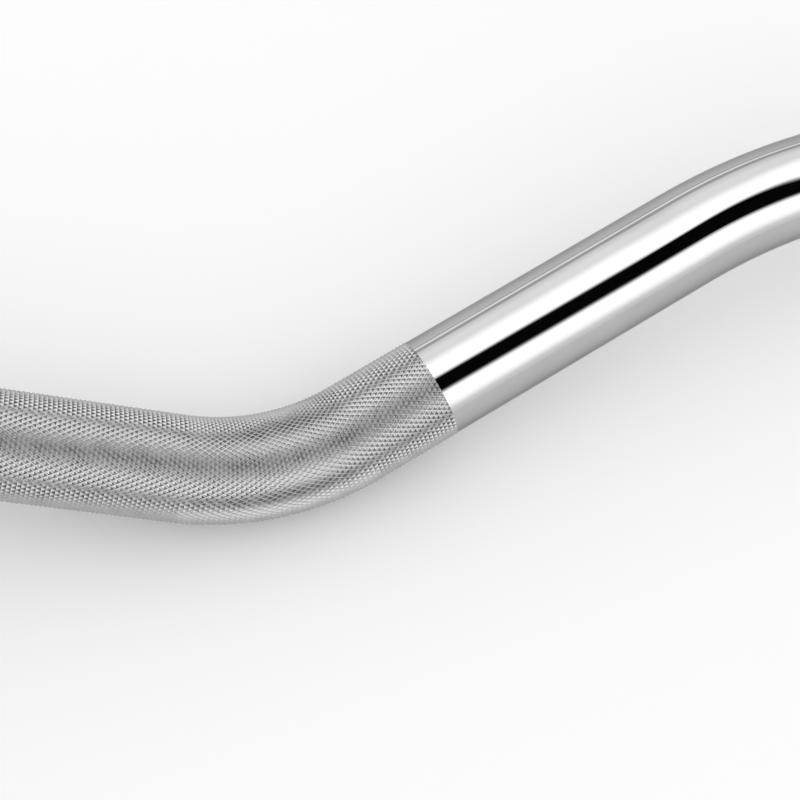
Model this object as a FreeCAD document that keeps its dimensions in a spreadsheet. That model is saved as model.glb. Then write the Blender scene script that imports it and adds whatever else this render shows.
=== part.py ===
import FreeCAD, Part
import os
import re

import Sketcher

# A curl bar: one bent shaft with two knurled grips, and a free-turning plate sleeve at each end.
# Lengths are millimetres and angles degrees. The bar lies along X on the floor z = 0, and it rests
# on its two collars and on the two low bends of the shaft, the valleys.

SIZES = {
    # the bent shaft, from its middle outward
    "shaft_diameter": 28.0,
    "knurl_height": 0.2,
    "centre_straight": 24.0,
    "centre_bend_radius": 187.0,
    "inner_angle": 17.0,
    "inner_straight": 106.5,
    "valley_bend_radius": 72.0,
    "outer_angle": 22.0,
    "outer_bend_radius": 90.0,
    "outer_straight": 64.7,
    "grip_inner_run": 23.5,
    "grip_outer_run": 22.0,
    # the turned ends of the shaft
    "journal_step": 1.5,
    "journal_tip": 3.0,
    "tip_chamfer": 1.0,
    "tip_gap": 4.0,
    # the sleeve and its collar
    "sleeve_diameter": 50.0,
    "loadable_length": 190.0,
    "sleeve_chamfer": 2.0,
    "hub_length": 4.0,
    "hub_chamfer": 1.0,
    "collar_diameter": 76.0,
    "collar_width": 16.0,
    "collar_round": 3.0,
    "collar_seat_share": 0.28,
    # bushings, washers and seal
    "bushing_wall": 5.45,
    "bushing_length": 32.0,
    "bushing_chamfer": 1.0,
    "running_clearance": 0.05,
    "thrust_clearance": 0.25,
    "washer_thickness": 2.0,
    "washer_share": 0.82,
    "seal_thickness": 4.0,
    "seal_recess": 0.6,
    "seal_clearance": 0.2,
    # the outside retaining ring on the journal, its widths as shares of the bushing wall
    "shaft_ring_thickness": 1.2,
    "shaft_ring_groove_share": 0.1,
    "shaft_ring_body_share": 0.45,
    "shaft_ring_lug_share": 0.28,
    "shaft_ring_hole_share": 0.14,
    "shaft_ring_gap_share": 0.7,
    # the end cap and its inside retaining ring, widths as shares of the sleeve wall
    "cap_thickness": 5.0,
    "cap_dish_depth": 1.2,
    "cap_rim_share": 0.2,
    "cap_seat_share": 0.3,
    "cap_ring_thickness": 1.75,
    "cap_ring_groove_share": 0.17,
    "cap_ring_body_share": 0.42,
    "cap_ring_lug_share": 0.32,
    "cap_ring_hole_share": 0.16,
    "cap_ring_gap_share": 1.4,
    "mouth_lip": 2.2,
    "ring_play": 0.1,
}

# Places and sizes that follow from the table. Places along a sleeve count from its inner end.
RULES = {
    "shaft_radius": "shaft_diameter / 2",
    "grip_radius": "shaft_radius + knurl_height",
    "journal_radius": "shaft_radius - journal_step",
    "collar_radius": "collar_diameter / 2",
    "sleeve_radius": "sleeve_diameter / 2",
    "bore_radius": "journal_radius + running_clearance + bushing_wall",
    "sleeve_wall": "sleeve_radius - bore_radius",
    "seat_radius": "sleeve_radius - sleeve_wall * collar_seat_share",
    "mouth_radius": "bore_radius + sleeve_wall * cap_seat_share",
    # the path of the bent shaft, seen square to the plane it is bent in
    "centre_rise": "centre_bend_radius * (1 - cos(inner_angle))",
    "valley_depth": "centre_rise + inner_straight * sin(inner_angle)"
                    " + valley_bend_radius * (1 - cos(inner_angle))",
    "inner_start": "centre_straight / 2 + centre_bend_radius * sin(inner_angle)",
    "outer_slope": "(valley_depth - (valley_bend_radius + outer_bend_radius) * (1 - cos(outer_angle)))"
                   " / sin(outer_angle)",
    "valley_place": "inner_start + inner_straight * cos(inner_angle)"
                    " + valley_bend_radius * sin(inner_angle)",
    "outer_start": "valley_place + outer_slope * cos(outer_angle)"
                   " + (valley_bend_radius + outer_bend_radius) * sin(outer_angle)",
    "grip_start_run": "inner_straight - grip_inner_run",
    "grip_start_place": "inner_start + grip_start_run * cos(inner_angle)",
    "grip_start_rise": "centre_rise + grip_start_run * sin(inner_angle)",
    "grip_end_place": "outer_start + grip_outer_run",
    # the bar at rest on the floor
    "half_span": "outer_start + outer_straight",
    "tilt": "asin((collar_radius - grip_radius) / valley_depth)",
    "axis_y": "(valley_depth * cos(tilt) + grip_radius - collar_radius) / 2",
    "hub_place": "half_span - hub_length",
    # along the sleeve
    "collar_end": "hub_length + collar_width",
    "sleeve_end": "collar_end + loadable_length",
    "cap_ring_groove_width": "cap_ring_thickness + ring_play",
    "cap_seat": "sleeve_end - mouth_lip - cap_ring_groove_width - cap_thickness",
    "cap_front": "cap_seat + cap_thickness",
    "shoulder": "seal_recess + seal_thickness + thrust_clearance",
    "inner_bushing_place": "shoulder + washer_thickness + thrust_clearance",
    "journal_end": "cap_seat - tip_gap",
    "shaft_ring_end": "journal_end - journal_tip",
    "shaft_ring_place": "shaft_ring_end - shaft_ring_thickness",
    "outer_washer_place": "shaft_ring_place - washer_thickness",
    "outer_bushing_place": "outer_washer_place - thrust_clearance - bushing_length",
    # retaining rings
    "shaft_groove_radius": "journal_radius - bushing_wall * shaft_ring_groove_share",
    "shaft_ring_outside": "journal_radius + bushing_wall * shaft_ring_body_share",
    "shaft_lug": "bushing_wall * shaft_ring_lug_share",
    "shaft_lug_hole": "bushing_wall * shaft_ring_hole_share",
    "shaft_ring_gap": "bushing_wall * shaft_ring_gap_share",
    "cap_groove_radius": "mouth_radius + sleeve_wall * cap_ring_groove_share",
    "cap_ring_inside": "mouth_radius - sleeve_wall * cap_ring_body_share",
    "cap_lug": "sleeve_wall * cap_ring_lug_share",
    "cap_lug_hole": "sleeve_wall * cap_ring_hole_share",
    "cap_ring_gap": "sleeve_wall * cap_ring_gap_share",
}

ORIGIN = -1
EDGE, FIRST, LAST, MIDDLE = range(4)
ALONG_AXIS = FreeCAD.Vector(1, 0, 0)
UPRIGHT = FreeCAD.Vector(0, 0, 1)
FULL_TURN = 360
HALF_TURN = 180

doc = FreeCAD.newDocument("CurlBar")
sheet = doc.addObject("Spreadsheet::Sheet", "Sizes")
for row, (alias, value) in enumerate(SIZES.items(), start=1):
    sheet.set("A%d" % row, alias)
    sheet.set("B%d" % row, str(value))
    sheet.setAlias("B%d" % row, alias)
doc.recompute()


def cells(text):
    """The expression with every rule written out and every size named as its cell."""
    def swap(found):
        word = found.group(0)
        if word in RULES:
            return "(" + cells(RULES[word]) + ")"
        return "Sizes." + word if word in SIZES else word
    return re.sub(r"[a-z_]+", swap, text)


def amount(text):
    """The number that an expression comes to now."""
    value = sheet.evalExpression(cells(text))
    return float(getattr(value, "Value", value))


def set_size(thing, name, text):
    thing.setExpression(name, cells(text))


def plane(body, role):
    return next(item for item in body.Origin.OriginFeatures if item.Role == role)


def new_body(label):
    body = doc.addObject("PartDesign::Body", label)
    body.Label = label
    return body


def new_sketch(body, name, role):
    sketch = body.newObject("Sketcher::SketchObject", name)
    sketch.AttachmentSupport = [(plane(body, role), "")]
    sketch.MapMode = "FlatFace"
    return sketch


def limit(sketch, text, kind, *places):
    """A dimension of the sketch, tied to the sheet."""
    number = amount(text)
    if kind == "Angle":
        number = FreeCAD.Units.Quantity(number, FreeCAD.Units.Angle).getValueAs("rad").Value
    index = sketch.addConstraint(Sketcher.Constraint(kind, *places, number))
    set_size(sketch, "Constraints[%d]" % index, text)


def pin(sketch, element, point, across, up):
    """Hold one point at a place given by two expressions, where a leading minus turns the side."""
    for kind, axis, text in (("DistanceX", -2, across), ("DistanceY", -1, up)):
        if text == "0":
            sketch.addConstraint(Sketcher.Constraint("PointOnObject", element, point, axis))
        elif text.startswith("-"):
            limit(sketch, text[1:], kind, element, point, ORIGIN, FIRST)
        else:
            limit(sketch, text, kind, ORIGIN, FIRST, element, point)


def spot(across, up):
    return FreeCAD.Vector(amount(across), amount(up), 0)


def draw_polygon(sketch, corners):
    spots = [spot(*corner) for corner in corners]
    lines = [sketch.addGeometry(Part.LineSegment(start, end))
             for start, end in zip(spots, spots[1:] + spots[:1])]
    for line, following in zip(lines, lines[1:] + lines[:1]):
        sketch.addConstraint(Sketcher.Constraint("Coincident", line, LAST, following, FIRST))
    for line, corner in zip(lines, corners):
        pin(sketch, line, FIRST, *corner)


def draw_circle(sketch, radius, across="0", up="0"):
    circle = sketch.addGeometry(Part.Circle(spot(across, up), UPRIGHT, amount(radius)))
    pin(sketch, circle, MIDDLE, across, up)
    limit(sketch, radius, "Radius", circle)


def draw_arc(sketch, middle, radius, start, end):
    """An arc that runs anticlockwise between two angles."""
    turns = [FreeCAD.Units.Quantity(angle, FreeCAD.Units.Angle).getValueAs("rad").Value
             for angle in (start, end)]
    return sketch.addGeometry(Part.ArcOfCircle(Part.Circle(middle, UPRIGHT, radius), *turns))


def draw_line(sketch, start, end):
    return sketch.addGeometry(Part.LineSegment(start, end))


def join_smoothly(sketch, first, first_point, second, second_point):
    sketch.addConstraint(Sketcher.Constraint("Tangent", first, first_point, second, second_point))


def draw_valley(sketch, slope_start, end_place):
    """Inner slope, valley bend, outer slope, outer bend and outer straight, as one smooth run."""
    inner, outer = amount("inner_angle"), amount("outer_angle")
    quarter = FULL_TURN / 4
    bend_in = spot("inner_start + inner_straight * cos(inner_angle)",
                   "centre_rise + inner_straight * sin(inner_angle)")
    valley_middle = spot("valley_place", "valley_depth - valley_bend_radius")
    bend_out = spot("valley_place + valley_bend_radius * sin(outer_angle)",
                    "valley_depth - valley_bend_radius * (1 - cos(outer_angle))")
    slope_end = spot("outer_start - outer_bend_radius * sin(outer_angle)",
                     "outer_bend_radius * (1 - cos(outer_angle))")
    outer_middle = spot("outer_start", "outer_bend_radius")

    inner_line = draw_line(sketch, slope_start, bend_in)
    valley_arc = draw_arc(sketch, valley_middle, amount("valley_bend_radius"),
                          quarter - outer, quarter + inner)
    outer_line = draw_line(sketch, slope_end, bend_out)
    outer_arc = draw_arc(sketch, outer_middle, amount("outer_bend_radius"), -quarter - outer, -quarter)
    level_line = draw_line(sketch, spot("outer_start", "0"), spot(end_place, "0"))

    join_smoothly(sketch, inner_line, LAST, valley_arc, LAST)
    join_smoothly(sketch, valley_arc, FIRST, outer_line, LAST)
    join_smoothly(sketch, outer_line, FIRST, outer_arc, FIRST)
    join_smoothly(sketch, outer_arc, LAST, level_line, FIRST)
    sketch.addConstraint(Sketcher.Constraint("Horizontal", level_line))
    limit(sketch, "inner_angle", "Angle", inner_line)
    limit(sketch, "valley_bend_radius", "Radius", valley_arc)
    limit(sketch, "%d - outer_angle" % HALF_TURN, "Angle", outer_line)
    limit(sketch, "outer_bend_radius", "Radius", outer_arc)
    pin(sketch, level_line, LAST, end_place, "0")
    return inner_line


def draw_bar_path(body):
    """The middle line of half the bar, from the middle out to the journal shoulder."""
    sketch = new_sketch(body, "BarPath", "XZ_Plane")
    level_end = spot("centre_straight / 2", "0")
    slope_start = spot("inner_start", "centre_rise")
    quarter = FULL_TURN / 4
    level_line = draw_line(sketch, spot("0", "0"), level_end)
    centre_arc = draw_arc(sketch, spot("centre_straight / 2", "centre_bend_radius"),
                          amount("centre_bend_radius"), -quarter, amount("inner_angle") - quarter)
    inner_line = draw_valley(sketch, slope_start, "hub_place + shoulder")
    pin(sketch, level_line, FIRST, "0", "0")
    pin(sketch, level_line, LAST, "centre_straight / 2", "0")
    join_smoothly(sketch, level_line, LAST, centre_arc, FIRST)
    join_smoothly(sketch, centre_arc, LAST, inner_line, FIRST)
    limit(sketch, "centre_bend_radius", "Radius", centre_arc)
    limit(sketch, "inner_straight", "Distance", inner_line)
    return sketch


def draw_grip_path(body):
    """The middle line of one knurled grip, through the valley and round the outer bend."""
    sketch = new_sketch(body, "GripPath", "XZ_Plane")
    inner_line = draw_valley(sketch, spot("grip_start_place", "grip_start_rise"), "grip_end_place")
    pin(sketch, inner_line, FIRST, "grip_start_place", "grip_start_rise")
    limit(sketch, "grip_inner_run", "Distance", inner_line)
    return sketch


def sweep(body, name, radius, path, place):
    section = new_sketch(body, name + "Section", "YZ_Plane")
    set_size(section, "AttachmentOffset.Base.z", place)
    draw_circle(section, radius)
    doc.recompute()
    pipe = body.newObject("PartDesign::AdditivePipe", name)
    pipe.Profile = section
    pipe.Spine = path
    doc.recompute()
    return pipe


def revolve(body, name, corners):
    profile = new_sketch(body, name + "Profile", "XZ_Plane")
    draw_polygon(profile, corners)
    doc.recompute()
    turned = body.newObject("PartDesign::Revolution", name)
    turned.Profile = profile
    turned.ReferenceAxis = (profile, ["H_Axis"])
    turned.Angle = FULL_TURN
    doc.recompute()
    return turned


def pad(body, name, sketch, length):
    doc.recompute()
    feature = body.newObject("PartDesign::Pad", name)
    feature.Profile = sketch
    set_size(feature, "Length", length)
    doc.recompute()
    return feature


def pocket(body, name, sketch):
    doc.recompute()
    feature = body.newObject("PartDesign::Pocket", name)
    feature.Profile = sketch
    feature.Type = "ThroughAll"
    feature.Midplane = True
    doc.recompute()
    return feature


def place_on_axis(body, along):
    set_size(body, "Placement.Base.x", along)
    set_size(body, "Placement.Base.y", "axis_y")
    set_size(body, "Placement.Base.z", "collar_radius")


def make_shaft(label):
    body = new_body(label)
    bar = sweep(body, "Bar", "shaft_radius", draw_bar_path(body), "0")
    grip = sweep(body, "Grip", "grip_radius", draw_grip_path(body), "grip_end_place")
    ring_in, ring_out = "hub_place + shaft_ring_place", "hub_place + shaft_ring_end + ring_play"
    tip = "hub_place + journal_end"
    journal = revolve(body, "Journal", [
        ("hub_place", "0"),
        ("hub_place", "journal_radius"),
        (ring_in, "journal_radius"),
        (ring_in, "shaft_groove_radius"),
        (ring_out, "shaft_groove_radius"),
        (ring_out, "journal_radius"),
        (tip + " - tip_chamfer", "journal_radius"),
        (tip, "journal_radius - tip_chamfer"),
        (tip, "0"),
    ])
    both_halves = body.newObject("PartDesign::Mirrored", "BothHalves")
    both_halves.Originals = [bar, grip, journal]
    both_halves.MirrorPlane = (plane(body, "YZ_Plane"), [""])
    body.Tip = both_halves
    body.Placement.Rotation = FreeCAD.Rotation(ALONG_AXIS, HALF_TURN)
    set_size(body, "Placement.Rotation.Angle", "tilt + %d deg" % (FULL_TURN / 4))
    place_on_axis(body, "0")
    return body


def make_sleeve(label):
    body = new_body(label)
    groove_out = "sleeve_end - mouth_lip"
    revolve(body, label + "Tube", [
        ("0", "bore_radius"),
        ("0", "seat_radius - hub_chamfer"),
        ("hub_chamfer", "seat_radius"),
        ("collar_end", "seat_radius"),
        ("collar_end", "sleeve_radius"),
        ("sleeve_end - sleeve_chamfer", "sleeve_radius"),
        ("sleeve_end", "sleeve_radius - sleeve_chamfer"),
        ("sleeve_end", "mouth_radius"),
        (groove_out, "mouth_radius"),
        (groove_out, "cap_groove_radius"),
        ("cap_front", "cap_groove_radius"),
        ("cap_front", "mouth_radius"),
        ("cap_seat", "mouth_radius"),
        ("cap_seat", "bore_radius"),
    ])
    return body, "0"


def round_edges(feature):
    """Name and edge of every round edge of a feature."""
    return [("Edge%d" % number, edge) for number, edge in enumerate(feature.Shape.Edges, start=1)
            if isinstance(edge.Curve, Part.Circle)]


def make_collar(label):
    body = new_body(label)
    ring = revolve(body, label + "Ring", [
        ("0", "seat_radius"),
        ("0", "collar_radius"),
        ("collar_width", "collar_radius"),
        ("collar_width", "seat_radius"),
    ])
    rims = [name for name, edge in round_edges(ring)
            if abs(edge.Curve.Radius - amount("collar_radius")) < amount("running_clearance")]
    rounding = body.newObject("PartDesign::Fillet", label + "Rounding")
    rounding.Base = (ring, rims)
    set_size(rounding, "Radius", "collar_round")
    doc.recompute()
    return body, "hub_length"


def make_tube(label, place, length, inside, outside):
    body = new_body(label)
    revolve(body, label + "Ring", [
        ("0", inside),
        ("0", outside),
        (length, outside),
        (length, inside),
    ])
    return body, place


def make_seal(label):
    return make_tube(label, "seal_recess", "seal_thickness", "shaft_radius + seal_clearance", "bore_radius")


def make_washer(label, place):
    return make_tube(label, place, "washer_thickness", "journal_radius + running_clearance",
                     "journal_radius + bushing_wall * washer_share")


def make_inner_washer(label):
    return make_washer(label, "shoulder")


def make_outer_washer(label):
    return make_washer(label, "outer_washer_place")


def make_bushing(label, place):
    """A bushing with a bevel at both ends of its outside, so that it starts into the bore."""
    body = new_body(label)
    inside = "journal_radius + running_clearance"
    revolve(body, label + "Ring", [
        ("0", inside),
        ("0", "bore_radius - bushing_chamfer"),
        ("bushing_chamfer", "bore_radius"),
        ("bushing_length - bushing_chamfer", "bore_radius"),
        ("bushing_length", "bore_radius - bushing_chamfer"),
        ("bushing_length", inside),
    ])
    return body, place


def make_inner_bushing(label):
    return make_bushing(label, "inner_bushing_place")


def make_outer_bushing(label):
    return make_bushing(label, "outer_bushing_place")


def make_end_cap(label):
    """A disc with a shallow dish inside its rim."""
    body = new_body(label)
    rim = "mouth_radius * (1 - cap_rim_share)"
    revolve(body, label + "Disc", [
        ("0", "0"),
        ("0", "mouth_radius"),
        ("cap_thickness", "mouth_radius"),
        ("cap_thickness", rim),
        ("cap_thickness - cap_dish_depth", rim + " - cap_dish_depth"),
        ("cap_thickness - cap_dish_depth", "0"),
    ])
    return body, "cap_seat"


def make_ring(label, inside, outside, thickness, gap, lug, lug_hole, lug_place):
    """A retaining ring: an open ring with a drilled lug on each side of its gap."""
    body = new_body(label)
    hoop = new_sketch(body, label + "Hoop", "YZ_Plane")
    draw_circle(hoop, inside)
    draw_circle(hoop, outside)
    pad(body, label + "Blank", hoop, thickness)

    ears = new_sketch(body, label + "Ears", "YZ_Plane")
    ear_place = "%s / 2 + %s" % (gap, lug)
    for side in ("", "-"):
        draw_circle(ears, lug, side + "(" + ear_place + ")", lug_place)
    pad(body, label + "Lugs", ears, thickness)

    opening = new_sketch(body, label + "Opening", "YZ_Plane")
    edge = "%s / 2" % gap
    draw_polygon(opening, [
        (edge, inside + " / 2"),
        (edge, outside + " * 2"),
        ("-(" + edge + ")", outside + " * 2"),
        ("-(" + edge + ")", inside + " / 2"),
    ])
    pocket(body, label + "Gap", opening)

    holes = new_sketch(body, label + "Holes", "YZ_Plane")
    for side in ("", "-"):
        draw_circle(holes, lug_hole, side + "(" + ear_place + ")", lug_place)
    pocket(body, label + "Drilling", holes)
    return body


def make_shaft_ring(label):
    body = make_ring(label, "(shaft_groove_radius + running_clearance)", "shaft_ring_outside",
                     "shaft_ring_thickness", "shaft_ring_gap", "shaft_lug", "shaft_lug_hole",
                     "shaft_ring_outside")
    return body, "shaft_ring_place"


def make_cap_ring(label):
    body = make_ring(label, "cap_ring_inside", "(cap_groove_radius - running_clearance)",
                     "cap_ring_thickness", "cap_ring_gap", "cap_lug", "cap_lug_hole", "cap_ring_inside")
    return body, "cap_front"


SLEEVE_PIECES = {
    "sleeve": make_sleeve,
    "collar": make_collar,
    "dust_seal": make_seal,
    "inner_washer": make_inner_washer,
    "inner_bushing": make_inner_bushing,
    "outer_bushing": make_outer_bushing,
    "outer_washer": make_outer_washer,
    "shaft_ring": make_shaft_ring,
    "end_cap": make_end_cap,
    "cap_ring": make_cap_ring,
}


def make_side(side):
    """All pieces of one end of the bar. The left end is the right end turned half round."""
    bodies = []
    for name, make in SLEEVE_PIECES.items():
        body, place = make(side + "_" + name)
        along = "hub_place + " + place
        if side == "left":
            body.Placement.Rotation = FreeCAD.Rotation(UPRIGHT, HALF_TURN)
            along = "-(" + along + ")"
        place_on_axis(body, along)
        bodies.append(body)
    return bodies


pieces = [make_shaft("shaft")] + make_side("left") + make_side("right")
doc.recompute()

for item in doc.Objects:
    if "Invalid" in item.State or "Error" in item.State:
        raise RuntimeError("%s did not build: %s" % (item.Label, item.State))
os.makedirs("parts", exist_ok=True)
for piece in pieces:
    shape = piece.Shape
    if not shape.isValid() or len(shape.Solids) != 1:
        raise RuntimeError("%s is not one sound solid" % piece.Label)
    shape.exportStep("parts/%s.step" % piece.Label)
    box = shape.BoundBox
    print("%-20s %10.1f mm3  x %8.2f %8.2f  y %7.2f %7.2f  z %7.2f %7.2f" % (
        piece.Label, shape.Volume, box.XMin, box.XMax, box.YMin, box.YMax, box.ZMin, box.ZMax))
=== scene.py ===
import math
from collections import namedtuple

import bmesh
import bpy
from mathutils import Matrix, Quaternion, Vector, noise


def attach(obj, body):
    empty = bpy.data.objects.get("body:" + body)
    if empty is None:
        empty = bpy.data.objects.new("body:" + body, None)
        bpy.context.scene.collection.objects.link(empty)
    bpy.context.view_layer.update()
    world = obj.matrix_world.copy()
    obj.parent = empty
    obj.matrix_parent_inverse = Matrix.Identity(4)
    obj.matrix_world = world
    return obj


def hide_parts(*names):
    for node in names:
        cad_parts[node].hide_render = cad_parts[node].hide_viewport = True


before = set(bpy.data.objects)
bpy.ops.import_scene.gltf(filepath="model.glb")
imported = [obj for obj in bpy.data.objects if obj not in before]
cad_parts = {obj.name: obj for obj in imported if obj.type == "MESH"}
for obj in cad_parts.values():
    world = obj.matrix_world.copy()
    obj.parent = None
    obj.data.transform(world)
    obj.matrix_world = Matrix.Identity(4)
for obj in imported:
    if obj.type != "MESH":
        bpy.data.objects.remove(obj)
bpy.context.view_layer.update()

# A curl bar on a pale floor: a bent chromed shaft, two knurled grips, and a turning sleeve at each end.
# Lengths are metres and angles radians, in the frame of the CAD model.

# The bent shaft, from its middle outward.
SHAFT_RADIUS = 0.014
CENTRE_STRAIGHT = 0.024
CENTRE_BEND_RADIUS = 0.187
INNER_ANGLE = math.radians(17)
INNER_STRAIGHT = 0.1065
VALLEY_BEND_RADIUS = 0.072
OUTER_ANGLE = math.radians(22)
OUTER_BEND_RADIUS = 0.090
OUTER_STRAIGHT = 0.0647
GRIP_INNER_RUN = 0.0235
GRIP_OUTER_RUN = 0.022

# The knurl: pointed diamonds in rows round the grip, between crossed grooves with nearly flat floors.
# Its depths count from the crests.
KNURL_HEIGHT = 0.0002
FOOT_DEPTH = 0.000475
GROOVE_DEPTH = 0.000488
GRIP_BED_DEPTH = 0.0006
DIAMOND_LENGTH = 0.00238
DIAMONDS_ROUND = 60
FOOT_SHARE = 0.80
CREST_WANDER = 0.00002
WANDER_SCALE = 400

# The turned ends of the shaft.
JOURNAL_STEP = 0.0015
JOURNAL_TIP = 0.003
TIP_CHAMFER = 0.001
TIP_GAP = 0.004
SHAFT_RING_THICKNESS = 0.0012
RING_PLAY = 0.0001

# The sleeve and its collar.
SLEEVE_RADIUS = 0.025
LOADABLE_LENGTH = 0.190
SLEEVE_CHAMFER = 0.002
HUB_LENGTH = 0.004
HUB_CHAMFER = 0.001
COLLAR_RADIUS = 0.038
COLLAR_WIDTH = 0.016
COLLAR_ROUND = 0.003

# The bushing's wall, the seal and the clearances.
BUSHING_WALL = 0.00545
RUNNING_CLEARANCE = 0.00005
THRUST_CLEARANCE = 0.00025
SEAL_THICKNESS = 0.004
SEAL_RECESS = 0.0006
SEAL_CLEARANCE = 0.0002

# The end cap and the mouth of the sleeve.
CAP_THICKNESS = 0.005
CAP_DISH_DEPTH = 0.0012
CAP_RING_THICKNESS = 0.00175
MOUTH_LIP = 0.0022

# Shares of the sleeve's wall, then one of the bushing's wall and one of the cap's radius.
COLLAR_SEAT_SHARE = 0.28
CAP_SEAT_SHARE = 0.3
CAP_GROOVE_SHARE = 0.17
SHAFT_GROOVE_SHARE = 0.1
CAP_RIM_SHARE = 0.2

# Fineness of the meshes, and the angles past which an edge is sharp.
BAR_SEGMENTS = 128
LATHE_SEGMENTS = 160
BEND_STEP = 0.0016
EDGE_ROUND = 0.0003
CORNER_STEPS = 4
CORNER_HOLD = 1.25
CORNER_ROOM_SHARE = 0.38
MERGE_DISTANCE = 1e-7
EDGE_ANGLE = math.radians(40)
KNURL_EDGE_ANGLE = math.radians(8)

# Radii that follow from these sizes.
CREST_RADIUS = SHAFT_RADIUS + KNURL_HEIGHT
FOOT_RADIUS = CREST_RADIUS - FOOT_DEPTH
GROOVE_RADIUS = CREST_RADIUS - GROOVE_DEPTH
GRIP_BED_RADIUS = CREST_RADIUS - GRIP_BED_DEPTH
SEAL_RADIUS = SHAFT_RADIUS + SEAL_CLEARANCE
JOURNAL_RADIUS = SHAFT_RADIUS - JOURNAL_STEP
SHAFT_GROOVE_RADIUS = JOURNAL_RADIUS - BUSHING_WALL * SHAFT_GROOVE_SHARE
BORE_RADIUS = JOURNAL_RADIUS + RUNNING_CLEARANCE + BUSHING_WALL
SLEEVE_WALL = SLEEVE_RADIUS - BORE_RADIUS
SEAT_RADIUS = SLEEVE_RADIUS - SLEEVE_WALL * COLLAR_SEAT_SHARE
MOUTH_RADIUS = BORE_RADIUS + SLEEVE_WALL * CAP_SEAT_SHARE
CAP_GROOVE_RADIUS = MOUTH_RADIUS + SLEEVE_WALL * CAP_GROOVE_SHARE
CAP_RIM_RADIUS = MOUTH_RADIUS * (1 - CAP_RIM_SHARE)

# Places along a sleeve, from its inner end.
SEAL_END = SEAL_RECESS + SEAL_THICKNESS
SHOULDER = SEAL_END + THRUST_CLEARANCE
COLLAR_END = HUB_LENGTH + COLLAR_WIDTH
SLEEVE_END = COLLAR_END + LOADABLE_LENGTH
CAP_GROOVE_END = SLEEVE_END - MOUTH_LIP
CAP_FRONT = CAP_GROOVE_END - CAP_RING_THICKNESS - RING_PLAY
CAP_SEAT = CAP_FRONT - CAP_THICKNESS
JOURNAL_END = CAP_SEAT - TIP_GAP
SHAFT_RING_END = JOURNAL_END - JOURNAL_TIP
SHAFT_GROOVE_START = SHAFT_RING_END - SHAFT_RING_THICKNESS
SHAFT_GROOVE_END = SHAFT_RING_END + RING_PLAY

# The bends, seen square to the plane they lie in.
VALLEY_TURN = INNER_ANGLE + OUTER_ANGLE
VALLEY_DEPTH = ((CENTRE_BEND_RADIUS + VALLEY_BEND_RADIUS) * (1 - math.cos(INNER_ANGLE))
                + INNER_STRAIGHT * math.sin(INNER_ANGLE))
OUTER_SLOPE = (VALLEY_DEPTH - (VALLEY_BEND_RADIUS + OUTER_BEND_RADIUS) * (1 - math.cos(OUTER_ANGLE))
               ) / math.sin(OUTER_ANGLE)

# Half of the bar as legs: how long each is along the middle line, and how far it turns.
INNER_LEGS = (
    (CENTRE_STRAIGHT / 2, 0),
    (CENTRE_BEND_RADIUS * INNER_ANGLE, INNER_ANGLE),
    (INNER_STRAIGHT, 0),
)
OUTER_LEGS = (
    (VALLEY_BEND_RADIUS * VALLEY_TURN, -VALLEY_TURN),
    (OUTER_SLOPE, 0),
    (OUTER_BEND_RADIUS * OUTER_ANGLE, OUTER_ANGLE),
)
END_LEG = (OUTER_STRAIGHT - HUB_LENGTH + JOURNAL_END, 0)
LEGS = (*INNER_LEGS, *OUTER_LEGS, END_LEG)

# Runs along the middle line, from the bar's middle.
VALLEY_RUN = sum(length for length, turn in INNER_LEGS)
OUTER_RUN = sum(length for length, turn in INNER_LEGS + OUTER_LEGS)
GRIP_START = VALLEY_RUN - GRIP_INNER_RUN
GRIP_END = OUTER_RUN + GRIP_OUTER_RUN
HUB_RUN = OUTER_RUN + OUTER_STRAIGHT - HUB_LENGTH

# The knurl's rows stand half a diamond apart, and each second row half a pitch round.
GRIP_LENGTH = GRIP_END - GRIP_START
KNURL_ROWS = 2 * round(GRIP_LENGTH / DIAMOND_LENGTH)
ROW_STEP = GRIP_LENGTH / KNURL_ROWS
KNURL_PITCH = math.tau / DIAMONDS_ROUND

# The bar rests on its collars and its valleys, so the plane of its bends leans.
LEAN = math.asin((COLLAR_RADIUS - CREST_RADIUS) / VALLEY_DEPTH)
AXIS_Y = (VALLEY_DEPTH * math.cos(LEAN) + CREST_RADIUS - COLLAR_RADIUS) / 2
AXIS_Z = COLLAR_RADIUS
SIDES = {"left": -1, "right": 1}

# Closed profiles of the turned pieces: place along the sleeve, radius, and rounding of the corner.
SLEEVE_PROFILE = (
    (0, BORE_RADIUS, EDGE_ROUND),
    (0, SEAT_RADIUS - HUB_CHAMFER, EDGE_ROUND),
    (HUB_CHAMFER, SEAT_RADIUS, EDGE_ROUND),
    (COLLAR_END, SEAT_RADIUS, 0),
    (COLLAR_END, SLEEVE_RADIUS, EDGE_ROUND),
    (SLEEVE_END - SLEEVE_CHAMFER, SLEEVE_RADIUS, EDGE_ROUND),
    (SLEEVE_END, SLEEVE_RADIUS - SLEEVE_CHAMFER, EDGE_ROUND),
    (SLEEVE_END, MOUTH_RADIUS, EDGE_ROUND),
    (CAP_GROOVE_END, MOUTH_RADIUS, EDGE_ROUND),
    (CAP_GROOVE_END, CAP_GROOVE_RADIUS, EDGE_ROUND),
    (CAP_FRONT, CAP_GROOVE_RADIUS, 0),
    (CAP_FRONT, MOUTH_RADIUS, 0),
    (CAP_SEAT, MOUTH_RADIUS, 0),
    (CAP_SEAT, BORE_RADIUS, EDGE_ROUND),
)
COLLAR_PROFILE = (
    (HUB_LENGTH, SEAT_RADIUS, EDGE_ROUND),
    (HUB_LENGTH, COLLAR_RADIUS, COLLAR_ROUND),
    (COLLAR_END, COLLAR_RADIUS, COLLAR_ROUND),
    (COLLAR_END, SEAT_RADIUS, EDGE_ROUND),
)
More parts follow.
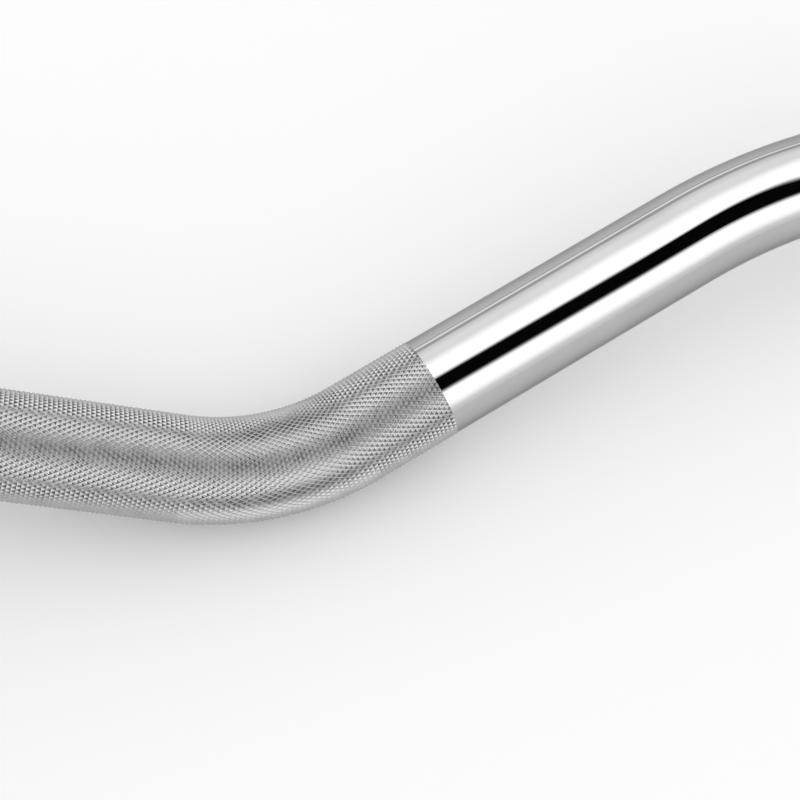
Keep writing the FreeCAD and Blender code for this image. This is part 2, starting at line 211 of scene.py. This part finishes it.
SEAL_PROFILE = (
    (SEAL_RECESS, SEAL_RADIUS, EDGE_ROUND),
    (SEAL_RECESS, BORE_RADIUS, EDGE_ROUND),
    (SEAL_END, BORE_RADIUS, EDGE_ROUND),
    (SEAL_END, SEAL_RADIUS, EDGE_ROUND),
)
CAP_PROFILE = (
    (CAP_SEAT, 0, 0),
    (CAP_SEAT, MOUTH_RADIUS, EDGE_ROUND),
    (CAP_FRONT, MOUTH_RADIUS, EDGE_ROUND),
    (CAP_FRONT, CAP_RIM_RADIUS, EDGE_ROUND),
    (CAP_FRONT - CAP_DISH_DEPTH, CAP_RIM_RADIUS - CAP_DISH_DEPTH, EDGE_ROUND),
    (CAP_FRONT - CAP_DISH_DEPTH, 0, 0),
)


def walk(run):
    """Place along X, depth toward the valley and heading, a run along the middle line from the middle."""
    along, depth, heading, left = 0, 0, 0, abs(run)
    for length, turn in LEGS:
        step = min(left, length)
        if turn:
            radius = length / turn
            ahead = heading + step / radius
            along += radius * (math.sin(ahead) - math.sin(heading))
            depth += radius * (math.cos(heading) - math.cos(ahead))
            heading = ahead
        else:
            along += step * math.cos(heading)
            depth += step * math.sin(heading)
        left -= step
    return along, depth, heading


def skin(run, angle, radius, side):
    """A point of the bar's skin; the angle goes round the bar from square to the plane of its bends."""
    along, depth, heading = walk(run)
    lift = radius * math.cos(angle)
    shift = radius * math.sin(angle)
    along -= shift * math.sin(heading)
    depth += shift * math.cos(heading)
    return Vector((side * along,
                   AXIS_Y - depth * math.cos(LEAN) - lift * math.sin(LEAN),
                   AXIS_Z - depth * math.sin(LEAN) + lift * math.cos(LEAN)))


def ring_quads(first, second, count):
    """Quads between two rings of points, given by the number of each ring's first point."""
    return [(first + n, first + (n + 1) % count, second + (n + 1) % count, second + n) for n in range(count)]


def add_piece(name, points, faces, look, body, node, sharp_angle):
    """A mesh piece on a body, in place of a CAD node; edges sharper than an angle stay sharp."""
    mesh = bpy.data.meshes.new(name)
    mesh.from_pydata(points, [], faces)
    work = bmesh.new()
    work.from_mesh(mesh)
    bmesh.ops.remove_doubles(work, verts=work.verts, dist=MERGE_DISTANCE)
    bmesh.ops.recalc_face_normals(work, faces=work.faces)
    work.to_mesh(mesh)
    work.free()
    mesh.shade_smooth()
    mesh.set_sharp_from_angle(angle=sharp_angle)
    mesh.materials.append(look)
    piece = bpy.data.objects.new(name, mesh)
    bpy.context.scene.collection.objects.link(piece)
    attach(piece, body)
    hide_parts(node)


def bar_stations():
    """Run and radius of each ring of half the bar, from its middle to its tip."""
    groove_start, groove_end = HUB_RUN + SHAFT_GROOVE_START, HUB_RUN + SHAFT_GROOVE_END
    tip = HUB_RUN + JOURNAL_END
    turned = [
        (0, SHAFT_RADIUS),
        (GRIP_START, SHAFT_RADIUS),
        (GRIP_START, GRIP_BED_RADIUS),
        (GRIP_END, GRIP_BED_RADIUS),
        (GRIP_END, SHAFT_RADIUS),
        (HUB_RUN + SHOULDER, SHAFT_RADIUS),
        (HUB_RUN + SHOULDER, JOURNAL_RADIUS),
        (groove_start, JOURNAL_RADIUS),
        (groove_start, SHAFT_GROOVE_RADIUS),
        (groove_end, SHAFT_GROOVE_RADIUS),
        (groove_end, JOURNAL_RADIUS),
        (tip - TIP_CHAMFER, JOURNAL_RADIUS),
        (tip, JOURNAL_RADIUS - TIP_CHAMFER),
    ]
    stations = turned[:1]
    for (start, radius), (end, end_radius) in zip(turned, turned[1:]):
        steps = max(1, math.ceil((end - start) / BEND_STEP)) if start < OUTER_RUN else 1
        for step in range(1, steps):
            stations.append((start + (end - start) * step / steps, radius))
        stations.append((end, end_radius))
    return stations


def make_bar(look):
    """The bent shaft, one swept mesh with its turned ends and the beds of its grips."""
    half = bar_stations()
    stations = [(run, radius, SIDES["left"]) for run, radius in reversed(half)]
    stations += [(run, radius, SIDES["right"]) for run, radius in half[1:]]
    points, faces = [], []
    for number, (run, radius, side) in enumerate(stations):
        for spoke in range(BAR_SEGMENTS):
            points.append(skin(run, math.tau * spoke / BAR_SEGMENTS, radius, side))
        if number:
            faces += ring_quads((number - 1) * BAR_SEGMENTS, number * BAR_SEGMENTS, BAR_SEGMENTS)
    for number in (0, len(stations) - 1):
        faces.append([number * BAR_SEGMENTS + spoke for spoke in range(BAR_SEGMENTS)])
    add_piece("bar", points, faces, look, "bar", "shaft", EDGE_ANGLE)


def crest_radius(run, angle, side):
    """The crests differ a little in height, as rolled ones do."""
    spot = Vector((side * run, SHAFT_RADIUS * math.cos(angle), SHAFT_RADIUS * math.sin(angle)))
    return CREST_RADIUS - CREST_WANDER * (1 + noise.noise(spot * WANDER_SCALE))


def add_crossings(add):
    """The points where grooves cross, row by row along the grip."""
    for row in range(KNURL_ROWS + 1):
        for column in range(DIAMONDS_ROUND):
            add(GRIP_START + row * ROW_STEP, (column + row % 2 / 2) * KNURL_PITCH, GROOVE_RADIUS)


def crossing(row, place):
    """The number of the groove crossing in a row, by its place round the grip in half pitches."""
    return row * DIAMONDS_ROUND + (place - row % 2) // 2 % DIAMONDS_ROUND


def add_diamonds(add, faces, side):
    """A diamond on each place between crossings. Returns the cut edges of the first and the last row."""
    cut_edges = {0: [], KNURL_ROWS: []}
    for row in range(KNURL_ROWS + 1):
        run = GRIP_START + row * ROW_STEP
        for column in range(DIAMONDS_ROUND):
            place = 2 * column + (row + 1) % 2
            angle = place * KNURL_PITCH / 2
            below, above = crossing(row, place - 1), crossing(row, place + 1)
            low = add(run, angle - FOOT_SHARE * KNURL_PITCH / 2, FOOT_RADIUS)
            high = add(run, angle + FOOT_SHARE * KNURL_PITCH / 2, FOOT_RADIUS)
            crest = add(run, angle, crest_radius(run, angle, side))
            for step in (1, -1):
                if not 0 <= row + step <= KNURL_ROWS:
                    cut_edges[row].append((above, high, crest, low, below))
                    continue
                next_crossing = crossing(row + step, place)
                tip = add(run + step * FOOT_SHARE * ROW_STEP, angle, FOOT_RADIUS)
                faces.append((below, next_crossing, tip, low))
                faces.append((next_crossing, above, high, tip))
                faces.append((low, tip, crest))
                faces.append((tip, high, crest))
    return cut_edges


def add_lining(add, faces):
    """The smooth inside of the grip. Returns the number of the first point of each of its rings."""
    rings = []
    steps = math.ceil(GRIP_LENGTH / BEND_STEP)
    for step in range(steps + 1):
        run = GRIP_START + GRIP_LENGTH * step / steps
        ring = [add(run, column * KNURL_PITCH, GRIP_BED_RADIUS) for column in range(DIAMONDS_ROUND)]
        rings.append(ring[0])
        if step:
            faces += ring_quads(rings[-2], rings[-1], DIAMONDS_ROUND)
    return rings


def make_grip(name, side, look):
    """A knurled skin: pointed diamonds stand between crossed grooves, over a smooth inner lining."""
    points, faces = [], []

    def add(run, angle, radius):
        points.append(skin(run, angle, radius, side))
        return len(points) - 1

    add_crossings(add)
    cut_edges = add_diamonds(add, faces, side)
    lining = add_lining(add, faces)
    for row, bed in ((0, lining[0]), (KNURL_ROWS, lining[-1])):
        for column, edge in enumerate(cut_edges[row]):
            faces.append((bed + column, bed + (column + 1) % DIAMONDS_ROUND, *edge))
    add_piece(name, points, faces, look, "bar", "shaft", KNURL_EDGE_ANGLE)


def soften(profile):
    """The points of a closed profile, with its corners rounded and held by close points."""
    corners = [(Vector((place, radius)), size) for place, radius, size in profile]
    points = []
    for number, (corner, size) in enumerate(corners):
        before = corners[number - 1][0] - corner
        after = corners[(number + 1) % len(corners)][0] - corner
        room = min(size, before.length * CORNER_ROOM_SHARE, after.length * CORNER_ROOM_SHARE)
        if not room:
            points.append(corner)
            continue
        start, end = corner + before.normalized() * room, corner + after.normalized() * room
        points.append(corner + before.normalized() * room * CORNER_HOLD)
        for step in range(CORNER_STEPS + 1):
            share = step / CORNER_STEPS
            points.append(start.lerp(corner, share).lerp(corner.lerp(end, share), share))
        points.append(corner + after.normalized() * room * CORNER_HOLD)
    return points


def make_turned(name, side, profile, look):
    """A turned piece that stands for the node of its own name, its profile spun about the sleeve axis."""
    points, faces = [], []
    outline = soften(profile)
    hub = walk(HUB_RUN)[0]
    for number, (place, radius) in enumerate(outline):
        for spoke in range(LATHE_SEGMENTS):
            angle = math.tau * spoke / LATHE_SEGMENTS
            points.append(Vector((SIDES[side] * (hub + place),
                                  AXIS_Y + radius * math.cos(angle),
                                  AXIS_Z + radius * math.sin(angle))))
        following = (number + 1) % len(outline)
        faces += ring_quads(number * LATHE_SEGMENTS, following * LATHE_SEGMENTS, LATHE_SEGMENTS)
    node = side + "_" + name
    add_piece(node + "_turned", points, faces, look, side + "_sleeve_assembly", node, EDGE_ANGLE)


def grey(level):
    """A neutral colour."""
    return (level, level, level, 1)


# Patterns of the looks: how many features to a metre, how much detail, and how stretched along the axes.
Pattern = namedtuple("Pattern", "scale detail stretch", defaults=((1, 1, 1),))
SMEARS = Pattern(45, 5, (1, 2, 2))
WAVES = Pattern(120, 1)
WIPING = Pattern(900, 2, (0.04, 1, 1))
KNURL_MOTTLE = Pattern(260, 4)
KNURL_GRAIN = Pattern(4000, 2)
SCUFFS = Pattern(300, 4, (0.03, 1, 1))
CAP_MOTTLE = Pattern(180, 4)
BLOOM = Pattern(150, 5)
RUBBER_GRAIN = Pattern(5000, 2)
PORES = Pattern(2600, 3)
GRINDING = Pattern(1500, 3, (1, 1, 0.05))
RUBBED = Pattern(420, 5)
FLOOR_CLOUDS = Pattern(3, 2)
TURNING_SCALE = 700
FACING_SCALE = 500
TURNING_WANDER = 0.6

# The middle range of a pattern's values, which spreads over a pair of colours or roughnesses.
PATTERN_LOW = 0.3
PATTERN_HIGH = 0.7

# Each finish: its pattern, and the colours and roughnesses at the pattern's low and high end.
Finish = namedtuple("Finish", "pattern colours roughness")
CHROME = Finish(SMEARS, (grey(0.44), grey(0.47)), (0.02, 0.05))
CHROME_RIM = grey(0.55)
KNURL = Finish(KNURL_MOTTLE, (grey(0.35), grey(0.40)), (0.24, 0.32))
SLEEVE = Finish(SCUFFS, (grey(0.44), grey(0.49)), (0.06, 0.16))
CAP = Finish(CAP_MOTTLE, (grey(0.34), grey(0.44)), (0.26, 0.40))
RUBBER = Finish(BLOOM, (grey(0.016), grey(0.034)), (0.50, 0.72))
BRONZE = Finish(PORES, ((0.30, 0.17, 0.07, 1), (0.60, 0.39, 0.19, 1)), (0.46, 0.28))
WASHER = Finish(GRINDING, (grey(0.38), grey(0.52)), (0.20, 0.36))
SPRING = Finish(RUBBED, ((0.030, 0.032, 0.036, 1), (0.11, 0.11, 0.12, 1)), (0.48, 0.30))

# Reliefs: how deep a pattern goes, and how strongly it shows.
Relief = namedtuple("Relief", "depth strength")
WAVE_RELIEF = Relief(0.00002, 0.10)
WIPING_RELIEF = Relief(0.000004, 0.10)
KNURL_RELIEF = Relief(0.00002, 0.15)
TURNING_RELIEF = Relief(0.00001, 0.12)
SCUFF_RELIEF = Relief(0.00002, 0.06)
FACING_RELIEF = Relief(0.00004, 0.25)
RUBBER_RELIEF = Relief(0.00003, 0.3)
PORE_RELIEF = Relief(0.00003, 0.3)
GRINDING_RELIEF = Relief(0.00002, 0.2)
RUBBED_RELIEF = Relief(0.00002, 0.2)


def feed(tree, socket, value):
    """Sets an input to a value, or links it to the output of another node."""
    if isinstance(value, bpy.types.NodeSocket):
        tree.links.new(value, socket)
    else:
        socket.default_value = value


def add_node(tree, kind, settings=None, **inputs):
    """A shader node with its settings and its inputs."""
    node = tree.nodes.new(kind)
    for name, value in (settings or {}).items():
        setattr(node, name, value)
    for name, value in inputs.items():
        feed(tree, node.inputs[name.replace("_", " ")], value)
    return node


def calculate(tree, operation, *values):
    """The result of a shader sum."""
    node = add_node(tree, "ShaderNodeMath", {"operation": operation})
    for socket, value in zip(node.inputs, values):
        feed(tree, socket, value)
    return node.outputs[0]


def object_place(tree):
    """The place on the object that is shaded."""
    return add_node(tree, "ShaderNodeTexCoord").outputs["Object"]


def speckle(tree, pattern):
    """A noise pattern."""
    stretched = add_node(tree, "ShaderNodeMapping", Vector=object_place(tree), Scale=pattern.stretch)
    return add_node(tree, "ShaderNodeTexNoise", Vector=stretched.outputs[0], Scale=pattern.scale,
                    Detail=pattern.detail).outputs[0]


def facing_marks(tree):
    """Rings about the sleeve axis, as a lathe leaves on a face."""
    moved = add_node(tree, "ShaderNodeMapping", Vector=object_place(tree), Location=(0, -AXIS_Y, -AXIS_Z))
    return add_node(tree, "ShaderNodeTexWave", {"wave_type": "RINGS", "rings_direction": "X"},
                    Vector=moved.outputs[0], Scale=FACING_SCALE, Distortion=TURNING_WANDER).outputs[0]


def turning_marks(tree):
    """Marks round a shaft, one after the other along it."""
    return add_node(tree, "ShaderNodeTexWave", {"wave_type": "BANDS", "bands_direction": "X"},
                    Vector=object_place(tree), Scale=TURNING_SCALE, Distortion=TURNING_WANDER).outputs[0]


def spread(tree, pattern, low, high):
    """The pattern's middle range spread over low to high."""
    return add_node(tree, "ShaderNodeMapRange", Value=pattern, From_Min=PATTERN_LOW, From_Max=PATTERN_HIGH,
                    To_Min=low, To_Max=high).outputs[0]


def blend(tree, share, *stops):
    """A colour by a share, from stops of a place and a colour."""
    ramp = add_node(tree, "ShaderNodeValToRGB", Fac=share)
    elements = ramp.color_ramp.elements
    while len(elements) < len(stops):
        elements.new(1)
    for element, (place, colour) in zip(elements, stops):
        element.position = place
        element.color = colour
    return ramp.outputs["Color"]


def tint(tree, pattern, low, high):
    """A colour between two, by a pattern."""
    return blend(tree, pattern, (PATTERN_LOW, low), (PATTERN_HIGH, high))


def emboss(tree, pattern, relief, **earlier):
    """A surface direction with a pattern's relief, on top of an earlier one if that is given as Normal."""
    return add_node(tree, "ShaderNodeBump", Height=pattern, Distance=relief.depth, Strength=relief.strength,
                    **earlier).outputs[0]


def new_look(name, **inputs):
    """A material with its node tree and its shader."""
    look = bpy.data.materials.new(name)
    look.use_nodes = True
    shader = look.node_tree.nodes["Principled BSDF"]
    for socket, value in inputs.items():
        feed(look.node_tree, shader.inputs[socket.replace("_", " ")], value)
    return look, look.node_tree, shader


def finish_look(name, finish, **inputs):
    """A material with its node tree, its shader and the pattern that gives it colour and roughness."""
    look, tree, shader = new_look(name, **inputs)
    pattern = speckle(tree, finish.pattern)
    feed(tree, shader.inputs["Base Color"], tint(tree, pattern, *finish.colours))
    feed(tree, shader.inputs["Roughness"], spread(tree, pattern, *finish.roughness))
    return look, tree, shader, pattern


def chrome_look():
    """Polished chrome plate: a mirror with faint wiping marks and the least waviness."""
    look, tree, shader, _ = finish_look("polished_chrome", CHROME, Metallic=1, Specular_Tint=CHROME_RIM)
    wavy = emboss(tree, speckle(tree, WAVES), WAVE_RELIEF)
    feed(tree, shader.inputs["Normal"], emboss(tree, speckle(tree, WIPING), WIPING_RELIEF, Normal=wavy))
    return look


def knurl_look():
    """Satin chrome plate over the knurl, mottled and finely grained."""
    look, tree, shader, _ = finish_look("knurled_chrome", KNURL, Metallic=1)
    feed(tree, shader.inputs["Normal"], emboss(tree, speckle(tree, KNURL_GRAIN), KNURL_RELIEF))
    return look


def sleeve_look():
    """Chrome plate on turned steel: fine turning marks, and faint scuffs along the loading length."""
    look, tree, shader, scuffs = finish_look("sleeve_chrome", SLEEVE, Metallic=1)
    turned = emboss(tree, turning_marks(tree), TURNING_RELIEF)
    feed(tree, shader.inputs["Normal"], emboss(tree, scuffs, SCUFF_RELIEF, Normal=turned))
    return look


def cap_look():
    """Satin steel with the rings that facing leaves."""
    look, tree, shader = new_look("cap_steel", Metallic=1)
    facing = facing_marks(tree)
    feed(tree, shader.inputs["Base Color"], tint(tree, speckle(tree, CAP.pattern), *CAP.colours))
    feed(tree, shader.inputs["Roughness"], spread(tree, facing, *CAP.roughness))
    feed(tree, shader.inputs["Normal"], emboss(tree, facing, FACING_RELIEF))
    return look


def rubber_look():
    """Dull black rubber with a fine grain and a grey bloom."""
    look, tree, shader, _ = finish_look("seal_rubber", RUBBER)
    feed(tree, shader.inputs["Normal"], emboss(tree, speckle(tree, RUBBER_GRAIN), RUBBER_RELIEF))
    return look


def bronze_look():
    """Sintered bronze: warm, with dark pores and an oily sheen."""
    look, tree, shader, pores = finish_look("bearing_bronze", BRONZE, Metallic=1)
    feed(tree, shader.inputs["Normal"], emboss(tree, pores, PORE_RELIEF))
    return look


def washer_look():
    """Ground steel with grinding lines."""
    look, tree, shader, lines = finish_look("washer_steel", WASHER, Metallic=1)
    feed(tree, shader.inputs["Normal"], emboss(tree, lines, GRINDING_RELIEF))
    return look


def spring_look():
    """Oil-blacked spring steel with rubbed places."""
    look, tree, shader, rubbed = finish_look("spring_steel", SPRING, Metallic=1)
    feed(tree, shader.inputs["Normal"], emboss(tree, rubbed, RUBBED_RELIEF))
    return look


def dress_node(node, look):
    """Gives a CAD node's own mesh a finished material."""
    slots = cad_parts[node].material_slots
    if not slots:
        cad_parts[node].data.materials.append(look)
    for slot in slots:
        slot.material = look


def build_object():
    """The bar with its grips, and at each end the turned pieces and the dressed CAD nodes."""
    chrome, knurl, sleeve = chrome_look(), knurl_look(), sleeve_look()
    cap, rubber = cap_look(), rubber_look()
    bronze, washer, spring = bronze_look(), washer_look(), spring_look()
    dressed = {
        "inner_bushing": bronze,
        "outer_bushing": bronze,
        "inner_washer": washer,
        "outer_washer": washer,
        "shaft_ring": spring,
        "cap_ring": spring,
    }
    make_bar(chrome)
    for side, sign in SIDES.items():
        make_grip(side + "_grip", sign, knurl)
        make_turned("sleeve", side, SLEEVE_PROFILE, sleeve)
        make_turned("collar", side, COLLAR_PROFILE, sleeve)
        make_turned("dust_seal", side, SEAL_PROFILE, rubber)
        make_turned("end_cap", side, CAP_PROFILE, cap)
        for name, look in dressed.items():
            dress_node(side + "_" + name, look)


# The studio: a white floor, and studio sheets that show in the metal alone. One light stands over and behind
# the bar and one in front of it, with a black flag between them, and a dark card hangs past each end.
FLOOR_RADIUS = 4
FLOOR_CORNERS = 128
FLOOR_DROP = 0.0002
FLOOR_GREYS = (grey(0.97), grey(0.98))
FLOOR_ROUGHNESS = 0.9
WORLD_STRENGTH = 1.0

# The sheets along the bar are given by their first and their last edge, as y and z.
SHEET_HALF_LENGTH = 1.25
TOP_LIGHT = ((-0.211, 1.6965), (1.909, 0.034))
FRONT_LIGHT = ((-0.859, 1.485), (-1.667, 0.03))
FLAG = (FRONT_LIGHT[0], TOP_LIGHT[0])
FLAG_GREY = grey(0.004)
LIGHT_STRENGTH = 2.3

# The lights fall off by stops: a share of the way across the sheet, and a share of the strength.
# Both have a soft first edge. The top light ends in a dark strip, a bright one and a dim border.
TOP_EDGE_SHARES = ((0, 0), (0.026, 0.14), (0.05, 0.42), (0.074, 0.76), (0.098, 1))
TOP_FALLOFF_SHARES = ((0.336, 1), (0.456, 0.66), (0.574, 0.66), (0.724, 0.50))
TOP_STRIP_SHARES = ((0.734, 0.30), (0.828, 0.30), (0.840, 0.66), (0.912, 0.66), (0.924, 0.33), (1, 0.40))
TOP_SHARES = TOP_EDGE_SHARES + TOP_FALLOFF_SHARES + TOP_STRIP_SHARES
FRONT_EDGE_SHARES = ((0, 0), (0.05, 0.11), (0.083, 0.31), (0.121, 0.61), (0.165, 0.92), (0.202, 1))
FRONT_FALLOFF_SHARES = ((0.53, 1), (0.665, 0.84), (0.783, 0.60), (0.90, 0.52))
FRONT_SHARES = FRONT_EDGE_SHARES + FRONT_FALLOFF_SHARES

# Between two places along X a round swell moves the falloff, by up to a share of the way across.
Swell = namedtuple("Swell", "start end share")
TOP_SWELL = Swell(0.24, 0.70, 0.07)
FRONT_SWELL = Swell(0.49, 0.81, -0.042)

# The upright cards: how far from the middle, and their reach along Y and Z.
CARD_PLACE = 1.3
CARD_SPAN = (-1.0, 0.8)
CARD_HEIGHTS = (0.6, 1.55)
CARD_GREY = grey(0.05)


def add_stage(name, points, look):
    """A flat thing of the studio."""
    mesh = bpy.data.meshes.new(name)
    mesh.from_pydata(points, [], [range(len(points))])
    mesh.materials.append(look)
    thing = bpy.data.objects.new(name, mesh)
    bpy.context.scene.collection.objects.link(thing)
    return thing


def make_floor():
    """A round white floor, just under the bar."""
    look, tree, shader = new_look("pale_floor", Roughness=FLOOR_ROUGHNESS)
    feed(tree, shader.inputs["Base Color"], tint(tree, speckle(tree, FLOOR_CLOUDS), *FLOOR_GREYS))
    turns = [math.tau * corner / FLOOR_CORNERS for corner in range(FLOOR_CORNERS)]
    points = [(FLOOR_RADIUS * math.cos(turn), FLOOR_RADIUS * math.sin(turn), -FLOOR_DROP) for turn in turns]
    add_stage("floor", points, look)


def make_sheet(name, corners, look):
    """A studio sheet that shows in the metal alone: the floor and the camera look through it."""
    sheet = add_stage(name, corners, look)
    sheet.visible_camera = False
    sheet.visible_diffuse = False


def along_bar(edges):
    """Corners of a sheet along the bar, from its two edges."""
    (y1, z1), (y2, z2) = edges
    left, right = -SHEET_HALF_LENGTH, SHEET_HALF_LENGTH
    return (left, y1, z1), (right, y1, z1), (right, y2, z2), (left, y2, z2)


def across_bar(x):
    """Corners of an upright sheet across the bar."""
    (near, far), (low, high) = CARD_SPAN, CARD_HEIGHTS
    return (x, near, low), (x, far, low), (x, far, high), (x, near, high)


def share_across(tree, edges, swell):
    """The share of the way across a sheet, moved by a swell that fades toward the sheet's last edge."""
    (first, _), (last, _) = edges
    place = add_node(tree, "ShaderNodeSeparateXYZ", Vector=object_place(tree))
    across = add_node(tree, "ShaderNodeMapRange", Value=place.outputs["Y"], From_Min=first,
                      From_Max=last).outputs[0]
    turn = add_node(tree, "ShaderNodeMapRange", Value=place.outputs["X"], From_Min=swell.start,
                    From_Max=swell.end, To_Max=math.pi).outputs[0]
    fading = calculate(tree, "SUBTRACT", 1, across)
    wave = calculate(tree, "MULTIPLY", calculate(tree, "SINE", turn), fading)
    return calculate(tree, "MULTIPLY_ADD", wave, -swell.share, across)


def glow_look(name, edges, shares, swell):
    """Light that falls off across a sheet."""
    look = bpy.data.materials.new(name)
    look.use_nodes = True
    tree = look.node_tree
    tree.nodes.remove(tree.nodes["Principled BSDF"])
    stops = [(place, grey(level)) for place, level in shares]
    colour = blend(tree, share_across(tree, edges, swell), *stops)
    glow = add_node(tree, "ShaderNodeEmission", Color=colour, Strength=LIGHT_STRENGTH)
    tree.links.new(glow.outputs[0], tree.nodes["Material Output"].inputs["Surface"])
    return look


def matt_look(name, colour):
    """A plain colour without shine."""
    return new_look(name, Base_Color=colour, Specular_IOR_Level=0)[0]


def make_lights():
    """The studio's lights, its flag and its end cards."""
    make_sheet("top_light", along_bar(TOP_LIGHT), glow_look("top_glow", TOP_LIGHT, TOP_SHARES, TOP_SWELL))
    make_sheet("front_light", along_bar(FRONT_LIGHT),
               glow_look("front_glow", FRONT_LIGHT, FRONT_SHARES, FRONT_SWELL))
    make_sheet("flag", along_bar(FLAG), matt_look("black_flag", FLAG_GREY))
    card = matt_look("dark_card", CARD_GREY)
    for side, sign in SIDES.items():
        make_sheet(side + "_card", across_bar(sign * CARD_PLACE), card)


def make_surround():
    """An even white light from all round."""
    world = bpy.data.worlds.new("studio")
    world.use_nodes = True
    background = world.node_tree.nodes["Background"]
    background.inputs["Color"].default_value = grey(1)
    background.inputs["Strength"].default_value = WORLD_STRENGTH
    world.cycles.sampling_method = "NONE"
    bpy.context.scene.world = world


# The camera looks down on the left valley. Lens and sensor are millimetres.
CAMERA_PLACE = Vector((-0.24432, -0.16569, 0.38668))
CAMERA_AIM = Vector((-0.15736, -0.02634, 0.030))
CAMERA_ROLL = math.radians(15.861)
CAMERA_LENS = 67.814
SENSOR_WIDTH = 36
CLIP_START = 0.01


def make_camera():
    """The photograph's camera, rolled about its line of sight."""
    data = bpy.data.cameras.new("camera")
    data.sensor_width = SENSOR_WIDTH
    data.lens = CAMERA_LENS
    data.clip_start = CLIP_START
    camera = bpy.data.objects.new("camera", data)
    camera.location = CAMERA_PLACE
    camera.rotation_mode = "QUATERNION"
    level = (CAMERA_AIM - CAMERA_PLACE).to_track_quat("-Z", "Y")
    camera.rotation_quaternion = level @ Quaternion((0, 0, 1), CAMERA_ROLL)
    bpy.context.scene.collection.objects.link(camera)
    bpy.context.scene.camera = camera


build_object()
make_floor()
make_lights()
make_surround()
make_camera()
bpy.context.scene.view_settings.view_transform = "Standard"
